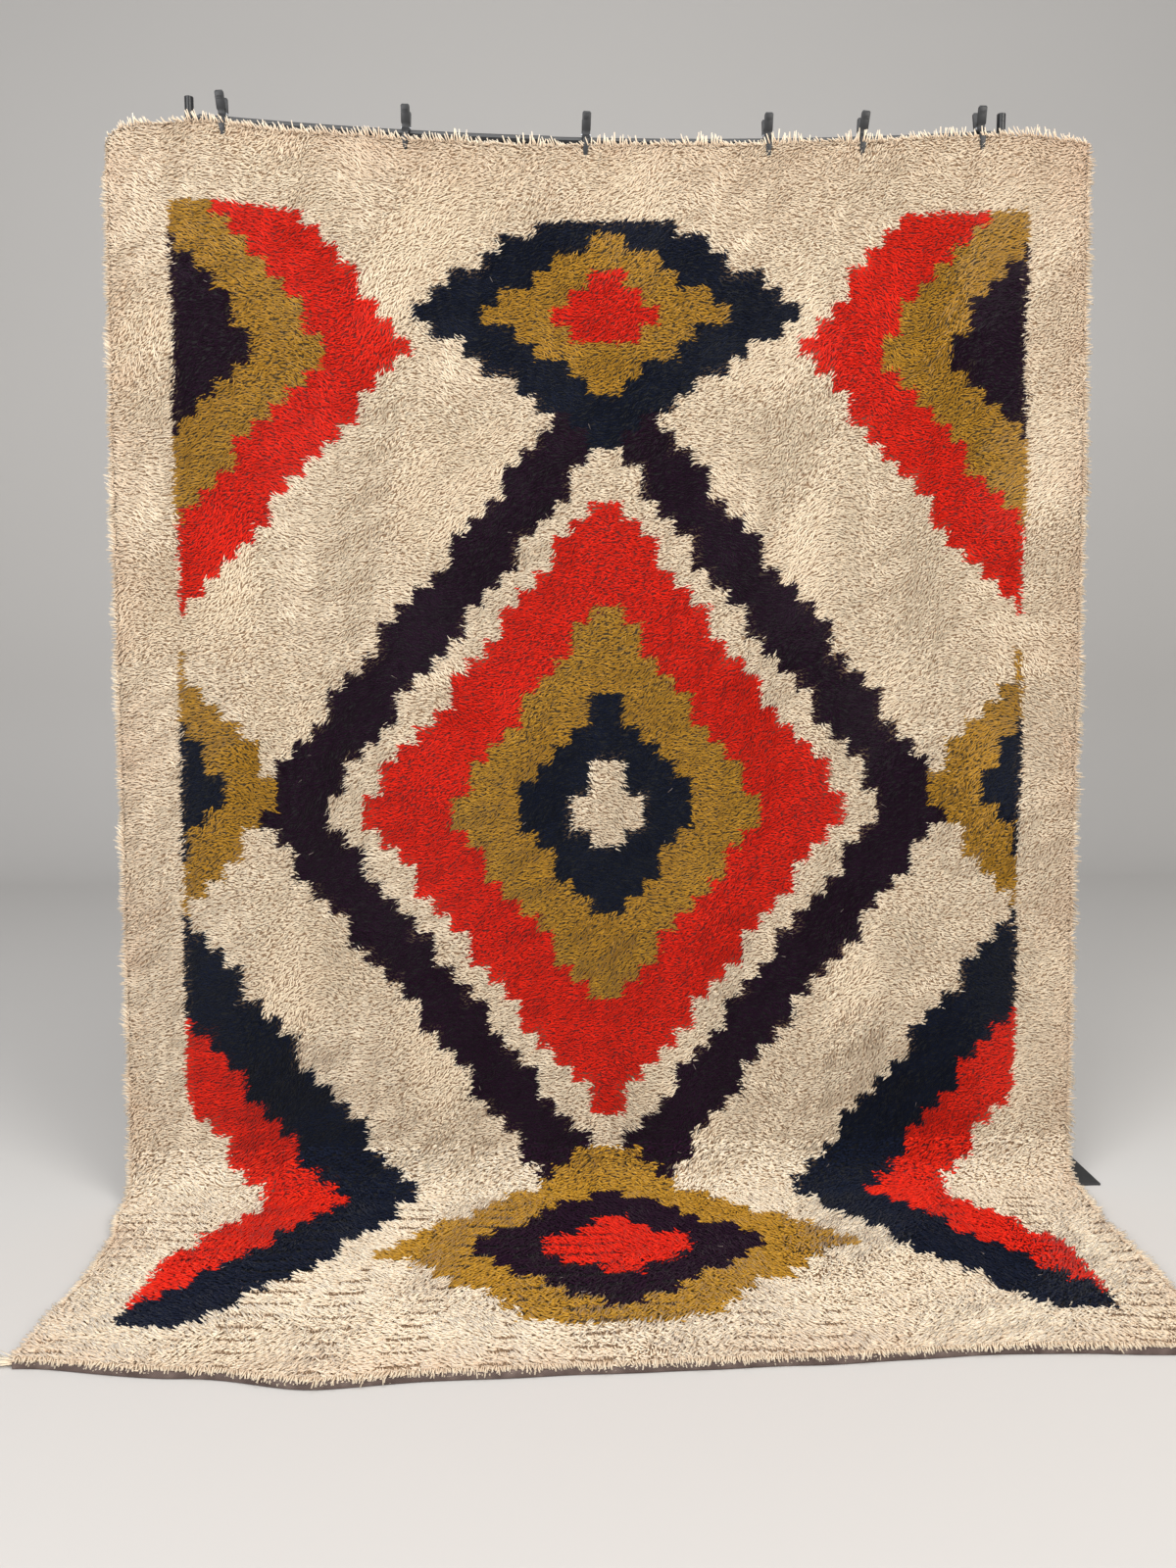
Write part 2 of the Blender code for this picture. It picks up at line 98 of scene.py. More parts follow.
def new_material(name, **shader):
    """A material with its Principled shader's own sockets set."""
    material = bpy.data.materials.new(name)
    material.use_nodes = True
    surface = material.node_tree.nodes["Principled BSDF"]
    for socket, value in shader.items():
        surface.inputs[socket.replace("_", " ")].default_value = value
    return material, surface


def join(material, output, node, socket):
    material.node_tree.links.new(output, node.inputs[socket])


def colour_ramp(material, factor, *stops):
    """A Color Ramp whose stops are (place, hex colour)."""
    node = add_node(material, "ShaderNodeValToRGB", i0=factor)
    while len(node.color_ramp.elements) < len(stops):
        node.color_ramp.elements.new(0.5)
    for element, (place, hex_colour) in zip(node.color_ramp.elements, stops):
        element.position = place
        element.color = linear(hex_colour)
    return node.outputs["Color"]


def blend_colours(material, factor, first, second, kind="MIX"):
    node = add_node(material, "ShaderNodeMix", {"data_type": "RGBA", "blend_type": kind}, i0=factor)
    for socket, value in ((6, first), (7, second)):
        if isinstance(value, str):
            node.inputs[socket].default_value = linear(value)
        else:
            join(material, value, node, socket)
    return node.outputs[2]


print("helpers ready")

# %% [markdown]
# The same floor goes on behind the rug and curves up into a wall, which is what a studio sweep is: no edge
# shows behind the object. One profile line is repeated at each side and joined by faces.

# %% Floor and lights
SWEEP_FRONT, SWEEP_BACK, SWEEP_RADIUS, SWEEP_HEIGHT, SWEEP_SIDE = -7.0, 4.2, 1.2, 6.5, 9.0


def add_floor():
    outline = [(SWEEP_FRONT, 0.0), (SWEEP_BACK, 0.0)]
    outline += [(SWEEP_BACK + SWEEP_RADIUS * math.sin(a), SWEEP_RADIUS - SWEEP_RADIUS * math.cos(a))
                for a in np.linspace(0.1, math.pi / 2, 12)]
    outline += [(SWEEP_BACK + SWEEP_RADIUS, SWEEP_HEIGHT)]
    mesh = bpy.data.meshes.new("studio_sweep")
    points = [(x, BAR_Y + y, z) for x in (-SWEEP_SIDE, SWEEP_SIDE) for y, z in outline]
    n = len(outline)
    mesh.from_pydata(points, [], [(i + 1, i, n + i, n + i + 1) for i in range(n - 1)])
    floor = bpy.data.objects.new("studio_sweep", mesh)
    bpy.context.scene.collection.objects.link(floor)
    for face in mesh.polygons:
        face.use_smooth = True
    material, surface = new_material("Matte studio paper", Roughness=0.85)
    grain = add_node(material, "ShaderNodeTexNoise", Scale=3.0, Detail=3.0)
    tint = blend_colours(material, grain.outputs["Fac"], "#BCB9B6", "#C4C1BE")
    join(material, tint, surface, "Base Color")
    floor.data.materials.append(material)


def add_soft_light(name, place, aim, size, watts, colour):
    data = bpy.data.lights.new(name, "AREA")
    data.shape = "RECTANGLE"
    data.size, data.size_y = size
    data.energy = watts
    data.color = linear(colour)[:3]
    light = bpy.data.objects.new(name, data)
    light.location = place
    light.rotation_euler = (Vector(aim) - Vector(place)).to_track_quat("-Z", "Y").to_euler()
    bpy.context.scene.collection.objects.link(light)


add_floor()
middle = (MIDDLE_X, BAR_Y, 1.3)
add_soft_light("window_left", (-3.6, BAR_Y - 5.4, 3.6), middle, (3.4, 3.0), 330, "#FFFFFF")
add_soft_light("window_right", (3.8, BAR_Y - 5.0, 4.0), middle, (3.0, 2.6), 270, "#FFFCF6")
add_soft_light("ceiling", (0.0, BAR_Y - 2.2, 6.0), middle, (5.0, 2.5), 150, "#FFFFFF")
world = bpy.data.worlds.new("studio")
bpy.context.scene.world = world
world.use_nodes = True
world.node_tree.nodes["Background"].inputs["Color"].default_value = linear("#EEF0F2")
world.node_tree.nodes["Background"].inputs["Strength"].default_value = 0.55
bpy.context.scene.view_settings.view_transform = "Standard"
print("floor and three soft lights")

# %% [markdown]
# ## How the cloth hangs
# All the rug's pieces lie on one imagined surface. A place on the flat rug is (across, down), with across
# from -1.25 m to 1.25 m and down from 0 at the top edge to 3.5 m at the front edge. Depth is how far a point
# stands off the cloth's back. drape() takes these three to a place in the room: a hanging part that leans,
# a quarter turn at the floor, and a part that lies. The numbers are the CAD model's, so all of it fits.

# %% The drape, as in the CAD model
RUG_WIDTH, RUG_LENGTH, PILE_DEPTH = 2.50, 3.50, 0.026
HALF = RUG_WIDTH / 2
BACK_OFF_BAR, LEAN, LEAN_TOP_Z, BEND_RADIUS = 0.0157, 0.130, 2.655, 0.090
WAVE, WAVE_LENGTH, WAVE_SLANT, WAVE_GROWTH, WAVE_DECAY = 0.014, 0.62, 2.2, 0.9, 0.7
CORNER_RADIUS, CORNER_FADE = 0.052, 0.140
RUG_SHIFT, TOP_STRIP = 0.010, 0.036
LEFT_FLOOR_INSET, LEFT_FRONT_INSET, RIGHT_FLOOR_INSET = 0.035, 0.008, 0.018
INSET_RUN, FLARE_START, FLARE_RUN = 0.20, 0.30, 0.36
# across, height above the floor
TOP_EDGE = ((-1.25, 2.729), (-1.15, 2.741), (-1.03, 2.752), (-0.76, 2.728), (-0.42, 2.714), (-0.20, 2.708),
            (0.00, 2.711), (0.25, 2.718), (0.64, 2.733), (0.90, 2.750), (1.08, 2.757), (1.18, 2.748),
            (1.25, 2.739))
# across, how far in front of the bar
FRONT_EDGE = ((-1.25, 0.895), (-0.90, 0.942), (-0.615, 0.990), (-0.40, 0.973), (0.00, 0.964), (0.35, 0.955),
              (0.80, 0.936), (1.25, 0.957))
BEND_LENGTH = math.pi * BEND_RADIUS / 2
FOOT_Y = BACK_OFF_BAR + LEAN


def smooth(t):
    t = np.clip(t, 0, 1)
    return t * t * (3 - 2 * t)


def read_table(table, across):
    """Values between a table's rows, with a smooth step from row to row."""
    places, values = np.array(table).T
    row = np.clip(np.searchsorted(places, across, side="right") - 1, 0, len(places) - 2)
    t = smooth((across - places[row]) / (places[row + 1] - places[row]))
    return values[row] * (1 - t) + values[row + 1] * t


mean_reach = sum((b[0] - a[0]) * (a[1] + b[1]) / 2 for a, b in zip(FRONT_EDGE, FRONT_EDGE[1:])) / RUG_WIDTH
BEND_START = RUG_LENGTH - BEND_LENGTH - (mean_reach - FOOT_Y - BEND_RADIUS)
BEND_END = BEND_START + BEND_LENGTH


def drape(across, down, depth):
    """Takes places on the flat rug, in metres, to points in the room."""
    across, down, depth = np.broadcast_arrays(*(np.asarray(v, float) for v in (across, down, depth)))
    inset = CORNER_RADIUS - (across + HALF)
    clipped = np.clip(inset, 0, CORNER_RADIUS)
    corner = CORNER_RADIUS - np.sqrt(CORNER_RADIUS ** 2 - clipped ** 2)
    corner = corner * np.clip(1 - down / CORNER_FADE, 0, None)
    fade = smooth((down - TOP_STRIP) / WAVE_GROWTH) * smooth((BEND_START - down) / WAVE_DECAY)
    wave = WAVE * fade * (0.5 + 0.5 * np.sin(2 * math.pi * across / WAVE_LENGTH + WAVE_SLANT * down))
    top = read_table(TOP_EDGE, across)
    z = top - (top - BEND_RADIUS) * down / BEND_START - corner
    lean = LEAN * np.clip((LEAN_TOP_Z - z) / (LEAN_TOP_Z - BEND_RADIUS), 0, None)
    hung = np.stack([across, -BACK_OFF_BAR - lean - wave - depth, z], -1)
    turn = (down - BEND_START) / BEND_LENGTH * math.pi / 2
    radius = BEND_RADIUS - depth
    bent_y, bent_z = -FOOT_Y - BEND_RADIUS + radius * np.cos(turn), BEND_RADIUS - radius * np.sin(turn)
    bent = np.stack([across, bent_y, bent_z], -1)
    reach = read_table(FRONT_EDGE, across) - FOOT_Y - BEND_RADIUS
    run = reach * (down - BEND_END) / (RUG_LENGTH - BEND_END)
    left = LEFT_FLOOR_INSET + (LEFT_FRONT_INSET - LEFT_FLOOR_INSET) * smooth((run - FLARE_START) / FLARE_RUN)
    inset = (left * (HALF - across) - RIGHT_FLOOR_INSET * (HALF + across)) / RUG_WIDTH
    laid = np.stack([across + inset * smooth(run / INSET_RUN), -FOOT_Y - BEND_RADIUS - run, depth], -1)
    past_start = np.where((down <= BEND_END)[..., None], bent, laid)
    place = np.where((down <= BEND_START)[..., None], hung, past_start)
    return place + np.array([MIDDLE_X + RUG_SHIFT, BAR_Y, 0])


check = drape([0, 0, 0], [0, BEND_START, RUG_LENGTH], PILE_DEPTH)
print("bend from", round(BEND_START, 3), "to", round(BEND_END, 3), "points", np.round(check, 3).tolist())

# %% [markdown]
# ## The pattern
# The field is generic: stepped lozenges one inside another, down the middle and at the sides, on a cream
# ground. A rya's pattern is drawn on squared paper, one square to a knot, so its slanting edges are steps.
# The function gives each place on the flat rug one of five yarns.

# %% Pattern of stepped lozenges
CREAM, RED, GOLD, PLUM, NAVY = range(5)
YARNS = ("cream", "red", "gold", "plum", "navy")
STEP = 0.045
MARGIN_SIDE, MARGIN_TOP, MARGIN_FRONT = 0.155, 0.190, 0.150
# across, down, half width, half height, then rings from outside in as (share of the size, yarn)
LOZENGES = (
    (0.00, 1.70, 0.92, 1.20, ((1.00, PLUM), (0.80, CREAM), (0.70, RED), (0.46, GOLD), (0.27, NAVY),
                              (0.11, CREAM))),
    (0.00, 0.42, 0.52, 0.34, ((1.00, NAVY), (0.62, GOLD), (0.30, RED))),
    (0.00, 3.02, 0.60, 0.44, ((1.00, GOLD), (0.66, PLUM), (0.34, RED))),
    (-1.10, 0.52, 0.60, 0.72, ((1.00, RED), (0.66, GOLD), (0.36, PLUM))),
    (1.10, 0.52, 0.60, 0.72, ((1.00, RED), (0.66, GOLD), (0.36, PLUM))),
    (-1.10, 2.76, 0.62, 0.80, ((1.00, NAVY), (0.66, RED), (0.36, CREAM))),
    (1.10, 2.76, 0.62, 0.80, ((1.00, NAVY), (0.66, RED), (0.36, CREAM))),
    (-1.10, 1.66, 0.26, 0.34, ((1.00, GOLD), (0.50, NAVY))),
    (1.10, 1.66, 0.26, 0.34, ((1.00, GOLD), (0.50, NAVY))),
)


def yarn_at(across, down):
    """The yarn of each place, as a number. Places are snapped to the pattern's squares first."""
    square_across = (np.floor(across / STEP) + 0.5) * STEP
    square_down = (np.floor(down / STEP) + 0.5) * STEP
    yarn = np.full(np.shape(across), CREAM)
    for x, y, half_width, half_height, rings in LOZENGES:
        size = np.abs(square_across - x) / half_width + np.abs(square_down - y) / half_height
        for share, ring_yarn in rings:
            yarn = np.where(size < share, ring_yarn, yarn)
    field = (np.abs(across) < HALF - MARGIN_SIDE) & (down > MARGIN_TOP) & (down < RUG_LENGTH - MARGIN_FRONT)
    return np.where(field, yarn, CREAM)


grid_across, grid_down = np.meshgrid(np.linspace(-HALF, HALF, 250), np.linspace(0, RUG_LENGTH, 350))
shares = np.bincount(yarn_at(grid_across, grid_down).ravel(), minlength=5) / grid_across.size
print("shares of the yarns", dict(zip(YARNS, shares.round(3).tolist())))

# %% [markdown]
# ## The wool
# Rya yarn is worsted wool, spun smooth and dyed in the hank. Each strand is painted darkest at its root, a
# painted shade where little light gets in, and palest at the cut tip, a painted light. Both come from the
# mesh:
# an attribute called shade runs from 0 at the root to 1 at the tip with a little luck for each strand, and a
# second attribute is how worn it is, and also carries a painted shade at the top right corner.

# %% Wool materials
# root (painted shade), body, tip (painted light), worn (also a painted shade at one corner): sRGB
WOOL = {
    "cream": ("#A08264", "#E6D6BC", "#F8EEDC", "#C8A98E"),
    "red": ("#7A0C02", "#D81C06", "#F23410", "#C83418"),
    "gold": ("#43300C", "#AE7E18", "#CFA040", "#A08040"),
    "plum": ("#0A0208", "#1C051A", "#2C0C28", "#302030"),
    "navy": ("#03060C", "#0A1022", "#141E34", "#20283A"),
}


def wool_material(yarn):
    root, body, tip, worn = WOOL[yarn]
    material, surface = new_material(f"Worsted rya wool dyed {yarn}", Roughness=0.82)
    surface.inputs["Specular IOR Level"].default_value = 0.12 if yarn in ("plum", "navy") else 0.2
    surface.inputs["Sheen Weight"].default_value = 0.15 if yarn in ("cream", "gold") else 0.04
    surface.inputs["Sheen Roughness"].default_value = 0.45
    shade = add_node(material, "ShaderNodeAttribute", {"attribute_name": "shade"})
    soil_and_shade = add_node(material, "ShaderNodeAttribute", {"attribute_name": "soil_and_shade"})
    # painted shade at the root and painted light at the tip, with the dyed colour between
    dyed = colour_ramp(material, shade.outputs["Fac"], (0.0, root), (0.55, body), (1.0, tip))
    # the worn colour stands for wear, and for a painted shade at the top right corner
    worn_and_shaded_wool = blend_colours(material, soil_and_shade.outputs["Fac"], dyed, worn)
    join(material, worn_and_shaded_wool, surface, "Base Color")
    return material


wools = {yarn: wool_material(yarn) for yarn in YARNS}
print("wool materials", len(wools))

# %% [markdown]
# ## The ground cloth
# Under the pile is a stiff woven ground, which shows only in the gaps between the strands, on the back and
# at the rim. Its face is painted the root colour of the yarn above it, darker still: a painted shade in the
# gaps. It is one closed sheet: a grid of faces laid through drape() at its back and again at its face,
# joined round the rim.

# %% Ground cloth
KNOT_DEPTH = 0.0115
CLOTH_CELL = 0.034
CLOTH_INSET = 0.004
CLOTH_BACK = 0.001
UNDER_PILE_SHADE = 0.7


def object_from_mesh(name, points, faces, material, smooth_faces=True):
    mesh = bpy.data.meshes.new(name)
    mesh.from_pydata([tuple(p) for p in points], [], [tuple(int(i) for i in f) for f in faces])
    mesh.validate()
    piece = bpy.data.objects.new(name, mesh)
    bpy.context.scene.collection.objects.link(piece)
    mesh.materials.append(material)
    for face in mesh.polygons:
        face.use_smooth = smooth_faces
    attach(piece, "root")
    return piece


def sheet_mesh(across, down, back, front):
    """Points and faces of a closed slab over a grid of the flat rug, from depth back to depth front."""
    a, d = np.meshgrid(across, down, indexing="ij")
    points = np.concatenate([drape(a, d, back).reshape(-1, 3), drape(a, d, front).reshape(-1, 3)])
    rows, columns = a.shape
    index = np.arange(rows * columns).reshape(rows, columns)
    quads = np.stack([index[:-1, :-1], index[1:, :-1], index[1:, 1:], index[:-1, 1:]], -1).reshape(-1, 4)
    top = quads[:, ::-1] + rows * columns
    rim = np.concatenate([index[:, 0], index[-1, 1:], index[-2::-1, -1], index[0, -2::-1]])
    loop = np.stack([rim[:-1], rim[1:]], -1)
    walls = np.concatenate([loop[:, ::-1], loop + rows * columns], 1)
    return points, np.concatenate([quads, top, walls]), a, d


def ground_material():
    """Jute and cotton ground, plain woven, thick as canvas: about 3 mm to a thread."""
    material, surface = new_material("Plain woven jute ground", Roughness=0.9)
    place = add_node(material, "ShaderNodeUVMap", {"uv_map": "flat"})
    weave = add_node(material, "ShaderNodeTexChecker", Vector=place.outputs["UV"], Scale=330.0)
    # the colour attribute is the jute's colour on the back and a painted shade under the pile
    cloth_colour_and_shade = add_node(material, "ShaderNodeAttribute", {"attribute_name": "cloth_colour_and_shade"})
    woven = blend_colours(material, 0.25, cloth_colour_and_shade.outputs["Color"], weave.outputs["Color"], "MULTIPLY")
    join(material, woven, surface, "Base Color")
    bump = add_node(material, "ShaderNodeBump", Height=weave.outputs["Fac"], Strength=0.4, Distance=0.001)
    join(material, bump.outputs["Normal"], surface, "Normal")
    return material


def add_ground_cloth():
    across = np.linspace(-HALF + CLOTH_INSET, HALF - CLOTH_INSET, int(RUG_WIDTH / CLOTH_CELL) + 1)
    down = np.linspace(CLOTH_INSET, RUG_LENGTH - CLOTH_INSET, int(RUG_LENGTH / CLOTH_CELL) + 1)
    points, faces, a, d = sheet_mesh(across, down, CLOTH_BACK, KNOT_DEPTH)
    cloth = object_from_mesh("ground_cloth", points, faces, ground_material())
    # painted shade: under the pile the cloth takes the yarn's root colour, darker still
    roots = np.array([linear(WOOL[yarn][0])[:3] for yarn in YARNS])
    under = roots[yarn_at(a, d)].reshape(-1, 3) * UNDER_PILE_SHADE
    back = np.tile(np.array(linear("#9C8468")[:3]), (len(under), 1))
    cloth_colour_and_shade = cloth.data.attributes.new("cloth_colour_and_shade", "FLOAT_COLOR", "POINT")
    opaque = np.ones(len(under))
    colours = np.concatenate([np.c_[back, opaque], np.c_[under, opaque]])
    cloth_colour_and_shade.data.foreach_set("color", colours.astype(np.float32).ravel())
    flat = cloth.data.uv_layers.new(name="flat")
    corner_vertex = np.empty(len(cloth.data.loops), int)
    cloth.data.loops.foreach_get("vertex_index", corner_vertex)
    places = np.tile(np.c_[a.ravel(), d.ravel()], (2, 1))[corner_vertex]
    flat.data.foreach_set("uv", places.astype(np.float32).ravel())
    return cloth


ground_cloth = add_ground_cloth()
print("ground cloth faces", len(ground_cloth.data.polygons))

# %% [markdown]
# ## The pile
# The pile could be hair particles, but those aren't kept as a mesh. So each strand is a tiny closed shape:
# three points at its root and one or two at its cut end. numpy places more than two hundred thousand of them
# at once on a jittered grid, and leans each the way the nap lies there, with some luck of its own.

# %% Directions on the hung rug
luck = np.random.default_rng(62)


def slow_waves(across, down, seed, count=7, shortest=0.10, longest=0.6):
    """A smooth random field from -1 to 1, a sum of waves that run every way over the rug."""
    pick = np.random.default_rng(seed)
    total = np.zeros(np.shape(across))
    for _ in range(count):
        length = pick.uniform(shortest, longest)
        way = pick.uniform(0, math.pi)
        phase = pick.uniform(0, 2 * math.pi)
        total = total + np.sin(2 * math.pi * (across * math.cos(way) + down * math.sin(way)) / length + phase)
    return np.clip(total / math.sqrt(count * 2), -1, 1)


def frame_at(across, down, depth):
    """The place and three unit directions on the hung rug: across it, down it and out of its face."""
    small = 0.0005
    here = drape(across, down, depth)
    steps = [drape(across + small, down, depth) - here, drape(across, down + small, depth) - here,
             drape(across, down, depth + small) - here]
    return here, [s / np.linalg.norm(s, axis=-1, keepdims=True) for s in steps]


# %% [markdown]
# A strand is described by a few numbers: its place, the way it lies, how steeply it rises, its length and its
# width. numpy turns whole lists of these into corners at once, and one mesh is made from them all.

# %% One strand, many times
WEDGE = np.array([[0, 2, 3], [2, 4, 3], [2, 1, 4], [0, 3, 4], [0, 4, 1]])
SPIKE = np.array([[0, 2, 3], [2, 1, 3], [1, 0, 3]])


def strand_points(strands, blunt):
    """The corners of every strand. lie is the way it points on the rug, rise its angle off the cloth."""
    here, (side, along, out) = frame_at(strands["across"], strands["down"], strands["root"])
    lie, rise = strands["lie"][:, None], strands["rise"][:, None]
    flat = np.cos(lie) * side + np.sin(lie) * along
    wide = (-np.sin(lie) * side + np.cos(lie) * along) * strands["width"][:, None] / 2
    up = (-np.sin(rise) * flat + np.cos(rise) * out) * strands["width"][:, None] * 0.85
    tip = here + (np.cos(rise) * flat + np.sin(rise) * out) * strands["length"][:, None]
    if blunt:
        return np.stack([here - wide, here + wide, here + up, tip - wide * 0.62, tip + wide * 0.62], 1)
    return np.stack([here - wide, here + wide, here + up, tip], 1)


def strand_shades(strands, blunt):
    """0 at the root, 1 at the tip, with each strand's own luck added."""
    tone = strands["tone"]
    columns = [tone * 0 + 0.05, tone * 0 + 0.05, tone + 0.34] + [tone + 0.78] * (2 if blunt else 1)
    return np.clip(np.stack(columns, 1), 0, 1)


def add_strands(name, material, sets):
    """One mesh from several sets of (points, faces of one strand, shades, soil of each strand)."""
    all_points, all_faces, all_shades, all_soil_and_shade, first = [], [], [], [], 0
    for corners, pattern, shades, soil_and_shade in sets:
        count, each = shades.shape
        all_points.append(corners.reshape(-1, 3))
        all_faces.append((pattern + first + np.arange(count)[:, None, None] * each).reshape(-1, 3))
        all_shades.append(shades.ravel())
        all_soil_and_shade.append(np.repeat(soil_and_shade, each))
        first += count * each
    points, faces = np.concatenate(all_points), np.concatenate(all_faces)
    mesh = bpy.data.meshes.new(name)
    mesh.vertices.add(len(points))
    mesh.vertices.foreach_set("co", points.astype(np.float32).ravel())
    mesh.loops.add(faces.size)
    mesh.loops.foreach_set("vertex_index", faces.astype(np.int32).ravel())
    mesh.polygons.add(len(faces))
    mesh.polygons.foreach_set("loop_start", np.arange(0, faces.size, 3, dtype=np.int32))
    mesh.polygons.foreach_set("use_smooth", np.ones(len(faces), bool))
    mesh.update(calc_edges=True)
    for label, values in (("shade", np.concatenate(all_shades)), ("soil_and_shade", np.concatenate(all_soil_and_shade))):
        layer = mesh.attributes.new(label, "FLOAT", "POINT")
        layer.data.foreach_set("value", values.astype(np.float32))
    piece = bpy.data.objects.new(name, mesh)
    bpy.context.scene.collection.objects.link(piece)
    mesh.materials.append(material)
    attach(piece, "root")
    print(name, len(faces), "triangles")
    return piece


# %% [markdown]
# Wool gathers dust and wear where it is touched: along the margins and in cloudy patches. The top right
# corner is darkened the same way, which is a painted shade. This function says how much, from 0 to 1, and
# every strand carries its share as an attribute that the wool material reads.

# %% Wear and a painted corner shade
def soiling_and_corner_shade(across, down):
    edge = np.minimum(np.minimum(HALF - np.abs(across), down), RUG_LENGTH - down)
    cloud = 0.5 + 0.5 * slow_waves(across, down, 11, 9, 0.08, 0.5)
    rim = np.exp(-edge / 0.07)
    # painted shade: the top right corner is darkened through the worn colour
    corner = np.exp(-np.hypot(HALF - across, down) / 0.16)
    return np.clip(0.08 * cloud + rim * (0.18 + 0.35 * cloud) + 0.45 * corner, 0, 0.85)


# %% [markdown]
# The nap is combed by hands and feet, so neighbouring strands lie alike and patches differ. Slow random
# waves over the rug turn the strands mostly sideways, to one side or the other. On the hanging part, far
# from the camera, a strand is a spike of three triangles; nearer, on the floor, it is a blunt wedge of five.

# %% Strands on the face
FLOOR_ZONE = 2.60
HUNG_PITCH, FLOOR_PITCH = 0.0055, 0.0066
ROOT_DEPTH = 0.0105
STRAND_WIDTH = 0.0052
JITTER = 0.45
KNOT_ROW, PART_HALF_WIDTH, PARTED_FROM = 0.046, 0.0065, 2.78
PARTED_LIE, PARTED_RISE, PARTED_SHADE = 1.35, 0.25, 0.10


def strands_on_face(down_from, down_to, pitch, length):
    """One strand in each square of a grid, pushed about inside it."""
    columns = np.arange(-HALF + pitch / 2, HALF, pitch)
    rows = np.arange(down_from + pitch / 2, down_to, pitch)
    a, d = np.meshgrid(columns, rows)
    a = a.ravel() + luck.uniform(-JITTER, JITTER, a.size) * pitch
    d = d.ravel() + luck.uniform(-JITTER, JITTER, d.size) * pitch
    nap, fine_nap = slow_waves(a, d, 5, 9, 0.12, 0.7), slow_waves(a, d, 6, 12, 0.03, 0.12)
    lie = -0.25 + 0.65 * nap + 0.35 * fine_nap + luck.normal(0, 0.32, a.size)
    turned = slow_waves(a, d, 8, 7, 0.3, 0.9) + luck.normal(0, 0.25, a.size) > 0.2
    rise = np.radians(np.clip(31 + 6 * fine_nap + luck.normal(0, 9, a.size), 8, 60))
    return {"across": a, "down": d, "lie": np.where(turned, lie, lie + math.pi), "rise": rise,
            "length": luck.uniform(*length, a.size), "width": STRAND_WIDTH * luck.uniform(0.85, 1.15, a.size),
            "root": np.full(a.size, ROOT_DEPTH), "tone": luck.normal(0, 0.09, a.size) + 0.06 * fine_nap}


def part_the_floor_rows(strands):
    """On the floor the rows of knots fall apart in places: strands beside such a line lie away from it."""
    a, d = strands["across"], strands["down"]
    wavy = d + 0.006 * np.sin(a * 9) + 0.003 * np.sin(a * 31)
    place = (wavy / KNOT_ROW) % 1.0 * KNOT_ROW - KNOT_ROW / 2
    loose = slow_waves(a, d * 0.3, 17, 8, 0.15, 0.6) > 0.12 + 0.35 * (a > 0)
    parted = (np.abs(place) < PART_HALF_WIDTH) & (d > PARTED_FROM) & loose
    strands["lie"] = np.where(parted, np.where(place > 0, PARTED_LIE, -PARTED_LIE), strands["lie"])
    strands["rise"] = np.where(parted, PARTED_RISE, strands["rise"])
    # painted shade: strands beside a parting are made darker
    strands["tone"] = np.where(parted, strands["tone"] - PARTED_SHADE, strands["tone"])
    return int(parted.sum())


hung = strands_on_face(0.0, FLOOR_ZONE, HUNG_PITCH, (0.0125, 0.0175))
laid = strands_on_face(FLOOR_ZONE, RUG_LENGTH, FLOOR_PITCH, (0.014, 0.019))
print("hung", hung["across"].size, "laid", laid["across"].size, "parted", part_the_floor_rows(laid))

# %% [markdown]
# Each yarn becomes a mesh of its own, because each has its own material. The cream is so large that it is
# shared out over three, so that none is heavy to export.

# %% Strands by yarn
TRIANGLES_IN_A_PIECE = 190000



def jagged_yarn(strands):
    """A knot's strands fan out, so each is dyed as a place a few millimetres from its own."""
    size = strands["across"].size
    across = strands["across"] + luck.normal(0, 0.0035, size)
    down = strands["down"] + luck.normal(0, 0.0035, size)
    return yarn_at(across, down)


zones = []
for strands, blunt in ((hung, False), (laid, True)):
    zones.append((strand_points(strands, blunt), WEDGE if blunt else SPIKE, strand_shades(strands, blunt),
                  soiling_and_corner_shade(strands["across"], strands["down"]), jagged_yarn(strands)))
for number, yarn in enumerate(YARNS):
    chosen = [np.flatnonzero(zone[4] == number) for zone in zones]
    triangles = len(chosen[0]) * 3 + len(chosen[1]) * 5
    parts = max(1, math.ceil(triangles / TRIANGLES_IN_A_PIECE))
    for part in range(parts):
        members = [np.array_split(rows, parts)[part] for rows in chosen]
        sets = [(zone[0][rows], zone[1], zone[2][rows], zone[3][rows]) for zone, rows in zip(zones, members)]
        name = f"pile_{yarn}" if parts == 1 else f"pile_{yarn}_{part + 1}"
        add_strands(name, wools[yarn], sets)

# %% [markdown]
# A rug's rim is where its strands show one by one. They stand out past the cloth at the sides, poke up in
# front of the bar at the top, and hang over the binding along the front. Their roots sit in two or three
# layers.

# %% Strands at the rim
RIM_STRAND_WIDTH = 0.0044


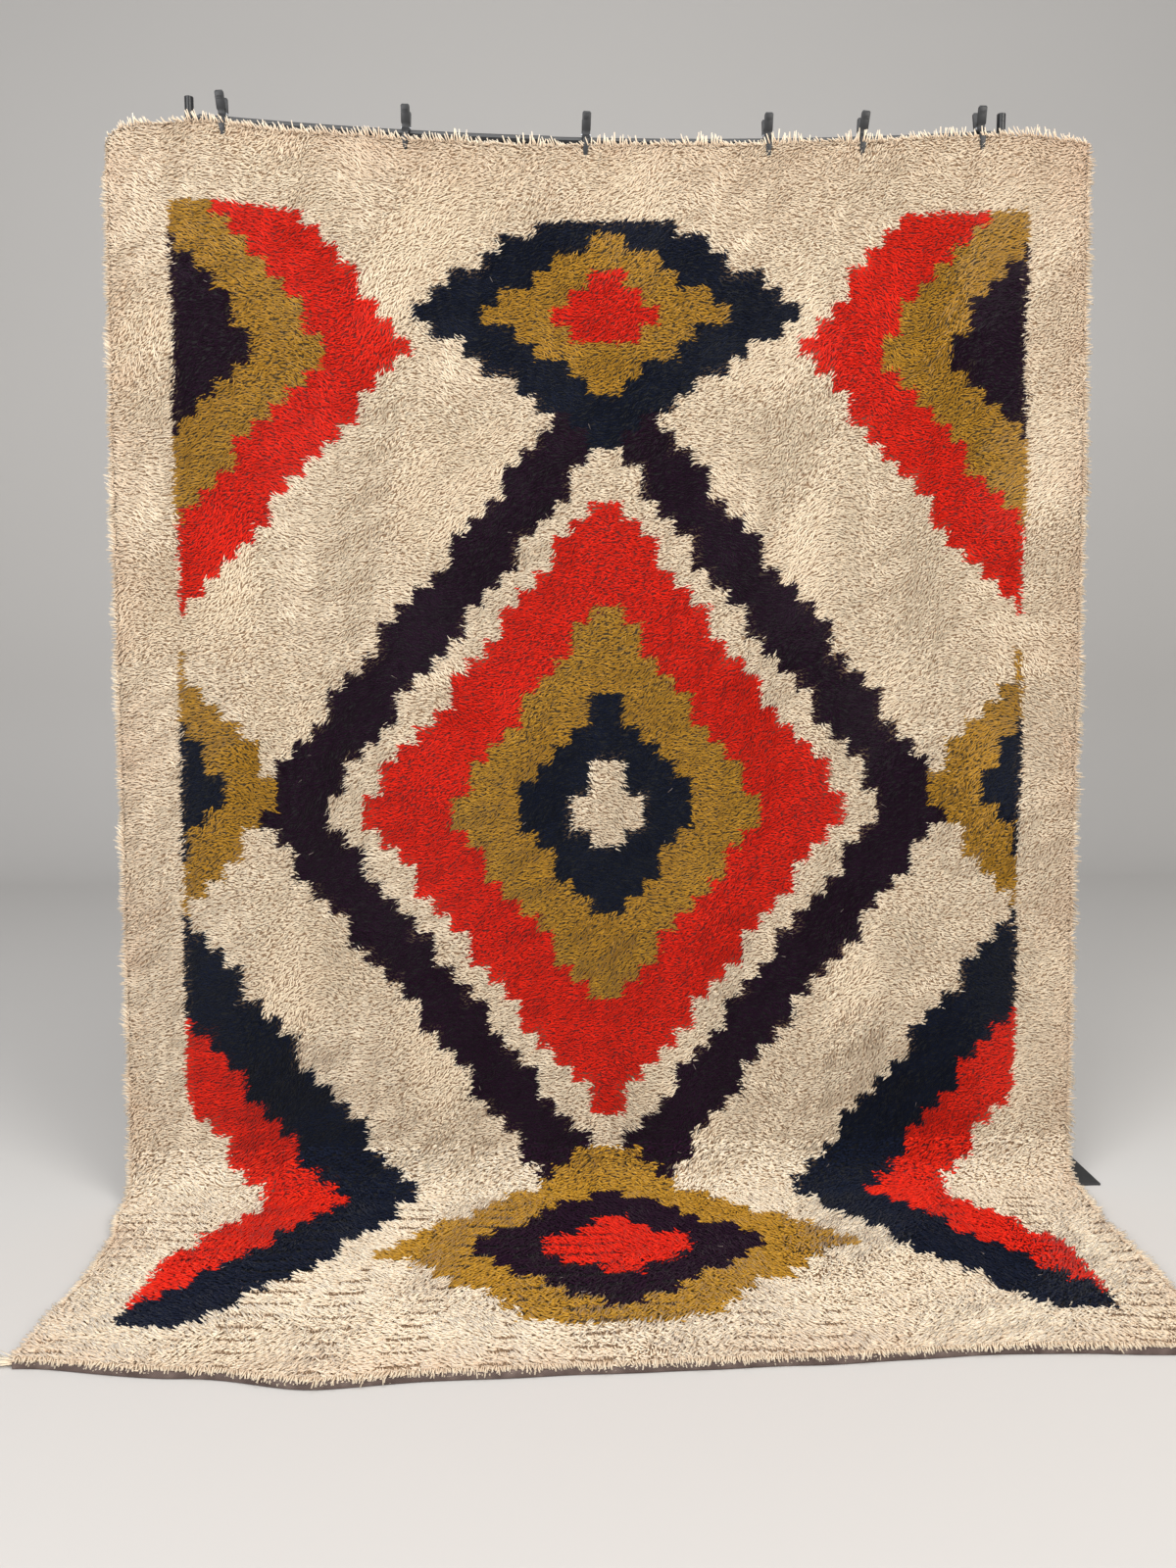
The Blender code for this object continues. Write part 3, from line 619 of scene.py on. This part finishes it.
def strands_at_rim(edge, spacing, outwards, depths, length, rise_degrees, spread, seed):
    """Strands along one edge. outwards is the lie of the way out: 0 right, pi left, pi / 2 to the front."""
    pick = np.random.default_rng(seed)
    end = RUG_LENGTH - 0.006 if edge in ("left", "right") else HALF - 0.006
    start = 0.006 if edge in ("left", "right") else -HALF + 0.006
    t = np.concatenate([np.arange(start, end, spacing)] * len(depths))
    t = t + pick.uniform(-0.4, 0.4, t.size) * spacing
    depth = np.repeat(depths, t.size // len(depths))
    inset = pick.uniform(0.002, 0.008, t.size)
    a = {"left": -HALF + inset, "right": HALF - inset}.get(edge, t)
    d = {"top": inset, "front": RUG_LENGTH - inset}.get(edge, t)
    comb = slow_waves(a, d, seed + 1, 8, 0.02, 0.25)
    near_corner = smooth(1.3 - np.hypot(a + HALF, d) / 0.07)
    long = pick.uniform(*length, t.size) * (0.85 + 0.25 * comb) * (1 - 0.5 * near_corner)
    return {"across": a, "down": d, "lie": outwards + spread * comb + pick.normal(0, 0.28, t.size),
            "rise": np.radians(rise_degrees + pick.normal(0, 11, t.size) + 9 * comb), "length": long,
            "width": RIM_STRAND_WIDTH * pick.uniform(0.8, 1.1, t.size), "root": depth,
            # painted shade: rim strands are made a tone darker than the face
            "tone": pick.normal(-0.10, 0.07, t.size)}


# edge, spacing, way out, depths of the roots, lengths, rise in degrees, spread, seed
RIMS = (
    ("left", 0.0050, math.pi, (0.006, 0.011, 0.016), (0.013, 0.024), 5, 0.6, 21),
    ("right", 0.0050, 0.0, (0.006, 0.011, 0.016), (0.014, 0.028), 5, 0.6, 31),
    ("top", 0.0048, -math.pi / 2 - 0.3, (0.004, 0.010), (0.008, 0.013), 12, 0.7, 41),
    ("top", 0.0100, -math.pi / 2 - 0.5, (0.015, 0.019), (0.016, 0.030), 14, 0.5, 45),
    ("front", 0.0044, math.pi / 2, (0.016, 0.020), (0.012, 0.020), -13, 0.45, 51),
)
rim_sets = []
for rim in RIMS:
    strands = strands_at_rim(*rim)
    rim_sets.append((strand_points(strands, True), WEDGE, strand_shades(strands, True),
                     soiling_and_corner_shade(strands["across"], strands["down"]) * 0.6))
rim_locks = add_strands("rim_locks", wools["cream"], rim_sets)

# %% [markdown]
# ## The tied corner and the lint
# At the front left corner a lock of longer strands sticks out past the rug. Dark wool shows every pale fibre,
# so a few hairs of lint lie on the plum and the navy. Both are strands like the others.

# %% Tied corner and lint
def own_strands(across, down, lie, rise_degrees, length, width, root, tone):
    size = len(across)
    fill = {"across": across, "down": down, "lie": lie, "rise": np.radians(rise_degrees), "length": length,
            "width": width, "root": root, "tone": tone}
    return {key: np.broadcast_to(np.asarray(value, float), size) for key, value in fill.items()}


def add_clean_wedges(name, material, strands):
    """A piece of blunt strands with no wear on them."""
    clean = np.zeros(len(strands["across"]))
    wedges = (strand_points(strands, True), WEDGE, strand_shades(strands, True), clean)
    return add_strands(name, material, [wedges])


TIED_STRANDS, LINT_TRIES, LINT_FIBRES, LINT_DEPTH = 22, 900, 46, 0.0205
tie = own_strands(np.full(TIED_STRANDS, -HALF + 0.004), RUG_LENGTH - luck.uniform(0.004, 0.014, TIED_STRANDS),
                  math.pi + luck.normal(0, 0.16, TIED_STRANDS), luck.normal(2, 7, TIED_STRANDS),
                  luck.uniform(0.032, 0.050, TIED_STRANDS), 0.0040,
                  luck.uniform(0.006, 0.013, TIED_STRANDS), 0.05)
add_clean_wedges("tied_corner", wools["cream"], tie)

lint_across, lint_down = luck.uniform(-1.05, 1.05, LINT_TRIES), luck.uniform(0.25, 3.3, LINT_TRIES)
on_dark = np.isin(yarn_at(lint_across, lint_down), (PLUM, NAVY))
lint_across, lint_down = lint_across[on_dark][:LINT_FIBRES], lint_down[on_dark][:LINT_FIBRES]
fibres = len(lint_across)
lint = own_strands(lint_across, lint_down, luck.uniform(0, 2 * math.pi, fibres), luck.normal(6, 6, fibres),
                   luck.uniform(0.006, 0.018, fibres), luck.uniform(0.0009, 0.0016, fibres), LINT_DEPTH, 0.0)
lint_material, lint_surface = new_material("Loose wool lint", Roughness=0.9)
lint_surface.inputs["Base Color"].default_value = linear("#8C8078")
add_clean_wedges("lint", lint_material, lint)

# %% [markdown]
# ## The binding
# A cotton tape is folded over the rug's cut edge and sewn down. From in front it is a narrow grey-brown band
# under the pile, a little uneven in height. Its section is a rounded strip that runs along the front edge;
# its own UV map follows the tape, so the threads run along it.

# %% Binding
def tape_material():
    """Plain woven cotton tape: matte, with fine threads and worn, paler places."""
    material, surface = new_material("Woven cotton tape", Roughness=0.88)
    surface.inputs["Specular IOR Level"].default_value = 0.2
    place = add_node(material, "ShaderNodeUVMap", {"uv_map": "flat"})
    # real threads are about 1 mm apart; 2.5 mm shows in the view
    threads = add_node(material, "ShaderNodeTexChecker", Vector=place.outputs["UV"], Scale=400.0)
    wear = add_node(material, "ShaderNodeTexNoise", Vector=place.outputs["UV"], Scale=26.0, Detail=4.0)
    worn = colour_ramp(material, wear.outputs["Fac"], (0.32, "#4A3D39"), (0.55, "#5E504B"), (0.75, "#74655E"))
    woven = blend_colours(material, 0.35, worn, threads.outputs["Color"], "SOFT_LIGHT")
    join(material, woven, surface, "Base Color")
    bump = add_node(material, "ShaderNodeBump", Height=threads.outputs["Fac"], Strength=0.5, Distance=0.0006)
    join(material, bump.outputs["Normal"], surface, "Normal")
    return material


def add_binding():
    stations = np.linspace(-HALF + 0.002, HALF - 0.002, 420)
    lift = 0.0150 + 0.0012 * np.sin(stations * 17) + 0.0008 * np.sin(stations * 53 + 1)
    swell = 0.0058 + 0.0008 * np.sin(stations * 29 + 2)
    # the section, as shares of (how far out, how high), anticlockwise from the back of the foot
    section = ((0.02, 0.02), (0.70, 0.02), (0.94, 0.10), (1.00, 0.30), (0.97, 0.62), (0.84, 0.86),
               (0.55, 1.0), (0.02, 1.0))
    loops = [drape(stations, RUG_LENGTH + 0.0003 + out * swell, 0.0004 + up * lift) for out, up in section]
    points = np.stack(loops, 1).reshape(-1, 3)
    n, rings = len(section), len(stations)
    faces = [(i * n + k, i * n + (k + 1) % n, (i + 1) * n + (k + 1) % n, (i + 1) * n + k)
             for i in range(rings - 1) for k in range(n)]
    faces += [tuple(reversed(range(n))), tuple((rings - 1) * n + k for k in range(n))]
    tape = object_from_mesh("binding_tape", points, faces, tape_material())
    flat = tape.data.uv_layers.new(name="flat")
    round_it = np.cumsum([0.0] + [0.006, 0.0025, 0.003, 0.005, 0.004, 0.003, 0.003])
    for loop in tape.data.loops:
        ring, k = divmod(loop.vertex_index, n)
        flat.data[loop.index].uv = (stations[ring], round_it[k])
    return tape


binding = add_binding()
edge_low, edge_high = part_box("edge_binding")
print("binding CAD box", [round(v, 3) for v in (*edge_low, *edge_high)])
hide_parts("edge_binding")

# %% [markdown]
# ## The spring clips
# Each clip is two moulded plastic levers that turn on a steel pin, held shut by a coil spring. A lever is a
# strip that is thick at its grip and thin at its jaw. It starts as one small plane at the top of the grip,
# is extruded down through eleven more sections, and its edges are then rounded with a bevel.

# %% One lever
# height above the pin, inner face, outer face, width: metres
LEVER = ((0.0490, 0.0190, 0.0235, 0.0160), (0.0450, 0.0175, 0.0250, 0.0220),
         (0.0080, 0.0075, 0.0165, 0.0220), (0.0050, 0.0070, 0.0150, 0.0175),
         (-0.0030, 0.0052, 0.0145, 0.0175), (-0.0060, 0.0070, 0.0170, 0.0195),
         (-0.0120, 0.0150, 0.0215, 0.0180), (-0.0180, 0.0196, 0.0265, 0.0170),
         (-0.0267, 0.0206, 0.0285, 0.0160), (-0.0420, 0.0206, 0.0270, 0.0135),
         (-0.0550, 0.0206, 0.0240, 0.0100), (-0.0600, 0.0206, 0.0225, 0.0040))


def deselect_all():
    if bpy.context.mode != "OBJECT":
        bpy.ops.object.mode_set(mode="OBJECT")
    bpy.ops.object.select_all(action="DESELECT")


def apply_modifiers(piece):
    deselect_all()
    bpy.context.view_layer.objects.active = piece
    piece.select_set(True)
    for modifier in list(piece.modifiers):
        bpy.ops.object.modifier_apply(modifier=modifier.name)


def round_edges(piece, width, segments=2, angle=30):
    bevel = piece.modifiers.new("rounded", "BEVEL")
    bevel.width = width
    bevel.segments = segments
    bevel.limit_method = "ANGLE"
    bevel.angle_limit = math.radians(angle)
    apply_modifiers(piece)
    bpy.ops.object.shade_smooth_by_angle(angle=math.radians(40))


def apply_place(piece):
    deselect_all()
    bpy.context.view_layer.objects.active = piece
    piece.select_set(True)
    bpy.ops.object.transform_apply(location=True, rotation=True, scale=True)


def join_pieces(name, pieces):
    deselect_all()
    for piece in pieces:
        piece.select_set(True)
    bpy.context.view_layer.objects.active = pieces[0]
    if len(pieces) > 1:
        bpy.ops.object.join()
    pieces[0].name = pieces[0].data.name = name
    return pieces[0]


def shape_lever():
    deselect_all()
    height, inner, outer, width = LEVER[0]
    bpy.ops.mesh.primitive_plane_add(size=1, location=(0, -(inner + outer) / 2, height))
    lever = bpy.context.active_object
    lever.scale = (width, outer - inner, 1)
    apply_place(lever)
    bpy.ops.object.mode_set(mode="EDIT")
    bpy.ops.mesh.select_all(action="SELECT")
    for (h0, i0, o0, w0), (h1, i1, o1, w1) in zip(LEVER, LEVER[1:]):
        step = (0, (i0 + o0 - i1 - o1) / 2, h1 - h0)
        bpy.ops.mesh.extrude_region_move(TRANSFORM_OT_translate={"value": step})
        bpy.ops.transform.resize(value=(w1 / w0, (o1 - i1) / (o0 - i0), 1),
                                 center_override=(0, -(i1 + o1) / 2, h1))
    bpy.ops.mesh.select_all(action="SELECT")
    bpy.ops.mesh.normals_make_consistent(inside=False)
    bpy.ops.object.mode_set(mode="OBJECT")
    round_edges(lever, 0.0011, 2, 25)
    return lever


def add_rib(width, thick, high, out, height):
    """A low cross rib on the lever's outer face."""
    deselect_all()
    bpy.ops.mesh.primitive_cube_add(size=1, location=(0, -out, height))
    rib = bpy.context.active_object
    rib.scale = (width, thick, high)
    apply_place(rib)
    round_edges(rib, 0.0004, 1)
    return rib


# the grip's outer face slopes in towards the pin, and its ribs follow it
GRIP_OUT, GRIP_OUT_HEIGHT, GRIP_SLOPE = 0.0237, 0.040, 0.22743
lever_parts = [shape_lever()]
lever_parts += [add_rib(0.0150, 0.0016, 0.0011, GRIP_OUT - GRIP_SLOPE * (GRIP_OUT_HEIGHT - z), z)
                for z in (0.036, 0.033, 0.030)]
lever_parts += [add_rib(0.0140, 0.0030, 0.0014, 0.0240, z) for z in (-0.0160, -0.0200, -0.0240)]
# the lug that the pin runs through
lever_parts += [add_rib(0.0042, 0.0120, 0.0080, 0.0088, -0.0015)]
lever_shape = join_pieces("lever_shape", lever_parts)
print("lever", len(lever_shape.data.polygons), "faces")

# %% [markdown]
# The spring is a real coil: a small circle is swept round the pin by a Screw modifier. The pin runs through
# it with a rounded head on each end, and both are bright zinc-plated steel.

# %% Spring and pin
WIRE_RADIUS, COIL_RADIUS, COIL_LENGTH, COIL_TURNS = 0.00075, 0.0052, 0.0215, 11
PIN_RADIUS, PIN_LENGTH, PIN_ROUNDING = 0.0017, 0.0250, 0.0006


def shape_spring():
    deselect_all()
    bpy.ops.mesh.primitive_circle_add(vertices=6, radius=WIRE_RADIUS, location=(0, 0, 0))
    coil = bpy.context.active_object
    bpy.ops.object.mode_set(mode="EDIT")
    bpy.ops.mesh.select_all(action="SELECT")
    bpy.ops.transform.translate(value=(-COIL_LENGTH / 2, COIL_RADIUS - WIRE_RADIUS, 0))
    bpy.ops.object.mode_set(mode="OBJECT")
    screw = coil.modifiers.new("coil", "SCREW")
    screw.axis = "X"
    screw.angle = 2 * math.pi
    screw.screw_offset = COIL_LENGTH / COIL_TURNS
    screw.iterations = COIL_TURNS
    screw.steps = screw.render_steps = 12
    apply_modifiers(coil)
    bpy.ops.object.shade_smooth()
    bpy.ops.object.mode_set(mode="EDIT")
    bpy.ops.mesh.select_all(action="SELECT")
    bpy.ops.mesh.fill_holes(sides=8)
    bpy.ops.mesh.normals_make_consistent(inside=False)
    bpy.ops.object.mode_set(mode="OBJECT")
    deselect_all()
    bpy.ops.mesh.primitive_cylinder_add(vertices=16, radius=PIN_RADIUS, depth=PIN_LENGTH,
                                        rotation=(0, math.pi / 2, 0))
    pin = bpy.context.active_object
    apply_place(pin)
    round_edges(pin, PIN_ROUNDING, 2)
    return join_pieces("spring_shape", [coil, pin])


spring_shape = shape_spring()
print("spring", len(spring_shape.data.polygons), "faces")

# %% [markdown]
# ## Finishes of the hard pieces
# The levers are moulded nylon, dyed black: matte, with a faint grain a little paler in places. The
# stand is steel tube under black powder coat, a thin plastic skin with a fine orange-peel surface that keeps
# a soft streak of light along the tube. The spring is zinc-plated wire.

# %% Hard materials
def moulded_nylon():
    material, surface = new_material("Moulded black nylon", Roughness=0.5, IOR=1.53)
    place = add_node(material, "ShaderNodeTexCoord")
    grain = add_node(material, "ShaderNodeTexNoise", Vector=place.outputs["Object"], Scale=900.0, Detail=2.0)
    tint = colour_ramp(material, grain.outputs["Fac"], (0.35, "#0B0B0D"), (0.7, "#19191C"))
    join(material, tint, surface, "Base Color")
    bump = add_node(material, "ShaderNodeBump", Height=grain.outputs["Fac"], Strength=0.2, Distance=0.0003)
    join(material, bump.outputs["Normal"], surface, "Normal")
    return material


def powder_coat(name, roughness, dark, light):
    material, surface = new_material(name, IOR=1.5)
    place = add_node(material, "ShaderNodeTexCoord")
    peel = add_node(material, "ShaderNodeTexNoise", Vector=place.outputs["Object"], Scale=420.0, Detail=2.0)
    dust = add_node(material, "ShaderNodeTexNoise", Vector=place.outputs["Object"], Scale=9.0, Detail=5.0)
    tint = colour_ramp(material, dust.outputs["Fac"], (0.4, dark), (0.75, light))
    join(material, tint, surface, "Base Color")
    worn = add_node(material, "ShaderNodeMapRange", i0=dust.outputs["Fac"],
                    i3=roughness - 0.06, i4=roughness + 0.1)
    join(material, worn.outputs[0], surface, "Roughness")
    bump = add_node(material, "ShaderNodeBump", Height=peel.outputs["Fac"], Strength=0.12, Distance=0.0004)
    join(material, bump.outputs["Normal"], surface, "Normal")
    return material


def zinc_plate():
    material, surface = new_material("Zinc plated spring wire", Metallic=1.0, Roughness=0.28)
    place = add_node(material, "ShaderNodeTexCoord")
    cloud = add_node(material, "ShaderNodeTexNoise", Vector=place.outputs["Object"], Scale=300.0, Detail=2.0)
    tint = colour_ramp(material, cloud.outputs["Fac"], (0.3, "#A9ABB0"), (0.7, "#D6D8DC"))
    join(material, tint, surface, "Base Color")
    return material


nylon = moulded_nylon()
tube_coat = powder_coat("Black powder coated steel tube", 0.30, "#0A0A0C", "#161618")
plate_coat = powder_coat("Black powder coated steel plate", 0.55, "#17181A", "#2A2B2E")
zinc = zinc_plate()
for name in [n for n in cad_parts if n.startswith(("crossbar", "bar_hook", "post_", "base_"))]:
    node = bpy.data.objects[name]
    node.data.materials.clear()
    node.data.materials.append(plate_coat if name.startswith("base_plate") else tube_coat)
print("hard finishes", nylon.name, tube_coat.name, plate_coat.name, zinc.name)

# %% [markdown]
# ## Six clips on the bar
# Each clip grips at its own place and leans its own way. The shapes made above are copied, turned about the
# pin, and moved to the bar; the back lever is the front one mirrored, so its faces are flipped.

# %% Place the clips
POST_X, BAR_END_Z, BAR_SAG = 1.038, 2.766, 0.038
# place along the bar, lean in degrees
CLIPS = ((-0.953, -4.0), (-0.496, 0.5), (-0.040, 2.0), (0.426, 0.0), (0.672, 5.0), (0.979, -1.0))
PIN_ABOVE_BAR, CLIP_MIDDLE_Y = 0.0140, -0.0075


def copy_shape(shape, name, material, matrix):
    mesh = shape.data.copy()
    mesh.name = name
    mesh.transform(matrix)
    if matrix.determinant() < 0:
        mesh.flip_normals()
    mesh.materials.clear()
    mesh.materials.append(material)
    piece = bpy.data.objects.new(name, mesh)
    bpy.context.scene.collection.objects.link(piece)
    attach(piece, "root")
    return piece


for number, (x, lean) in enumerate(CLIPS, start=1):
    bar_z = BAR_END_Z - BAR_SAG * (1 - (x / POST_X) ** 2)
    place = Matrix.Translation((MIDDLE_X + x, BAR_Y + CLIP_MIDDLE_Y, bar_z + PIN_ABOVE_BAR))
    place = place @ Matrix.Rotation(math.radians(lean), 4, "Y")
    mirrored = place @ Matrix.Scale(-1, 4, (0, 1, 0))
    front = copy_shape(lever_shape, f"lever_{number}_front", nylon, place)
    back = copy_shape(lever_shape, f"lever_{number}_back", nylon, mirrored)
    spring = copy_shape(spring_shape, f"spring_{number}", zinc, place)
    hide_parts(f"clip_{number}_front")
    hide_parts(f"clip_{number}_back")
    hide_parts(f"clip_{number}_coil")
    made_low = [round(min(v.co[k] for v in front.data.vertices), 4) for k in range(3)]
    cad_low = [round(v, 4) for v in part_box(f"clip_{number}_front")[0]]
    print("clip", number, "CAD low", cad_low, "made low", made_low)
for shape in (lever_shape, spring_shape):
    bpy.data.objects.remove(shape)

# %% [markdown]
# ## What stands for what
# The ground cloth stands for the CAD rug and the rim strands for its locks, so those solids are hidden.

# %% Replace the CAD rug
LOCK_NODES = ["locks_top", "locks_front"] + [f"locks_{side}_{part}" for side in ("left", "right")
                                             for part in ("hung", "bend", "floor")]
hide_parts("rug")
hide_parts(*LOCK_NODES)
